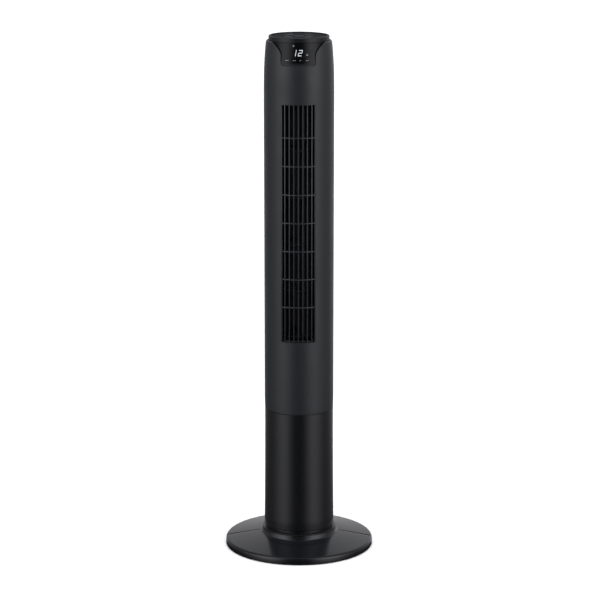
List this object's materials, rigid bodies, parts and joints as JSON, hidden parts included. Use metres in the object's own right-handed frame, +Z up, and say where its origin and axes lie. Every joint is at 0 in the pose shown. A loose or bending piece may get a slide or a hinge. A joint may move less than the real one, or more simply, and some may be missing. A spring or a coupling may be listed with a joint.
{
  "type": "tower fan",
  "caption": "Slim upright tower fan that swings on a round base, with a front grille, a leaning display and press keys on its cap.",
  "frame": {"origin": "on the floor, under the axis of the column", "axes": "+Z up along the tower, the front with the grille and display faces -Y, +X to the right seen from the front"},
  "size_m": [0.336, 0.336, 1.17],
  "materials": {
    "housing_abs": "fine matt texture, charcoal black",
    "column_abs": "satin black",
    "base_abs": "satin black, fine texture",
    "collar_abs": "satin black",
    "grille_abs": "matt black",
    "cap_abs": "satin black",
    "panel_gloss": "polished black",
    "lens_gloss": "polished smoked black",
    "key_abs": "satin black",
    "button_metal": "spun satin",
    "rubber": "matt",
    "screw_steel": "zinc plated",
    "shaft_steel": "ground",
    "pom": "natural white, slightly waxy",
    "frame_abs": "moulded, unpolished",
    "duct_abs": "moulded, unpolished",
    "motor_metal": "galvanised sheet",
    "capacitor_case": "moulded",
    "wheel_abs": "moulded black",
    "bronze": "sintered, oily",
    "circuit_board": "solder mask",
    "black_component": "moulded"
  },
  "bodies": {
    "stand": {"base_front": "base_abs", "base_rear": "base_abs", "rubber_feet": "rubber", "base_screws": "screw_steel", "collar_ring": "collar_abs", "column": "column_abs", "cord_gland": "rubber", "swivel_plate": "frame_abs", "swivel_screws": "screw_steel", "spindle_bush": "pom", "thrust_ring": "pom", "swing_motor": "motor_metal", "swing_motor_screws": "screw_steel"},
    "drive_pinion": {"swing_motor_shaft": "shaft_steel", "swing_pinion": "pom"},
    "tower": {"swing_gear": "pom", "gear_screws": "screw_steel", "tower_floor": "frame_abs", "swivel_spindle": "pom", "spindle_screws": "screw_steel", "spindle_clip": "screw_steel", "front_housing": "housing_abs", "rear_housing": "housing_abs", "housing_screws": "screw_steel", "outlet_grille": "grille_abs", "intake_grille": "grille_abs", "duct_bottom_plate": "frame_abs", "duct_top_plate": "frame_abs", "scroll_wall": "duct_abs", "tongue_wall": "duct_abs", "fan_motor": "motor_metal", "motor_capacitor": "capacitor_case", "motor_mounts": "rubber", "motor_screws": "screw_steel", "motor_lead": "rubber", "pin_bush": "bronze", "pin_bush_seat": "rubber", "control_housing": "frame_abs", "top_cap": "cap_abs", "control_panel": "panel_gloss", "control_board": "circuit_board", "key_switches": "black_component", "buzzer": "black_component", "display_lens": "lens_gloss", "display_board": "circuit_board", "digit_display": "black_component", "remote_receiver": "black_component"},
    "wheel": {"motor_shaft": "shaft_steel", "fan_wheel": "wheel_abs", "wheel_hub": "wheel_abs", "wheel_pin": "shaft_steel"},
    "power_button": {"power_button": "button_metal"},
    "speed_key": {"speed_key": "key_abs"},
    "mode_key": {"mode_key": "key_abs"},
    "timer_key": {"timer_key": "key_abs"},
    "swing_key": {"swing_key": "key_abs"}
  },
  "joints": [
    {"name": "tower_swing", "type": "hinge", "parent": "stand", "child": "tower", "pos_m": [0, 0, 0.324], "axis": [0, 0, 1], "range_deg": [-40, 40]},
    {"name": "pinion_spin", "type": "hinge", "parent": "stand", "child": "drive_pinion", "pos_m": [0, 0.045, 0.315], "axis": [0, 0, 1], "range_deg": [-121, 121]},
    {"name": "wheel_spin", "type": "hinge", "parent": "tower", "child": "wheel", "pos_m": [0, 0.008, 0.758], "axis": [0, 0, 1], "continuous": true},
    {"name": "power_button_press", "type": "slide", "parent": "tower", "child": "power_button", "axis": [0, 0, -1], "range_m": [0, 0.001], "stiffness_N_per_m": 400, "springref_m": -0.001},
    {"name": "speed_key_press", "type": "slide", "parent": "tower", "child": "speed_key", "axis": [0, 0, -1], "range_m": [0, 0.001], "stiffness_N_per_m": 400, "springref_m": -0.001},
    {"name": "mode_key_press", "type": "slide", "parent": "tower", "child": "mode_key", "axis": [0, 0, -1], "range_m": [0, 0.001], "stiffness_N_per_m": 400, "springref_m": -0.001},
    {"name": "timer_key_press", "type": "slide", "parent": "tower", "child": "timer_key", "axis": [0, 0, -1], "range_m": [0, 0.001], "stiffness_N_per_m": 400, "springref_m": -0.001},
    {"name": "swing_key_press", "type": "slide", "parent": "tower", "child": "swing_key", "axis": [0, 0, -1], "range_m": [0, 0.001], "stiffness_N_per_m": 400, "springref_m": -0.001}
  ],
  "couplings": [
    {"joint": "pinion_spin", "follows": "tower_swing", "ratio": -3}
  ]
}
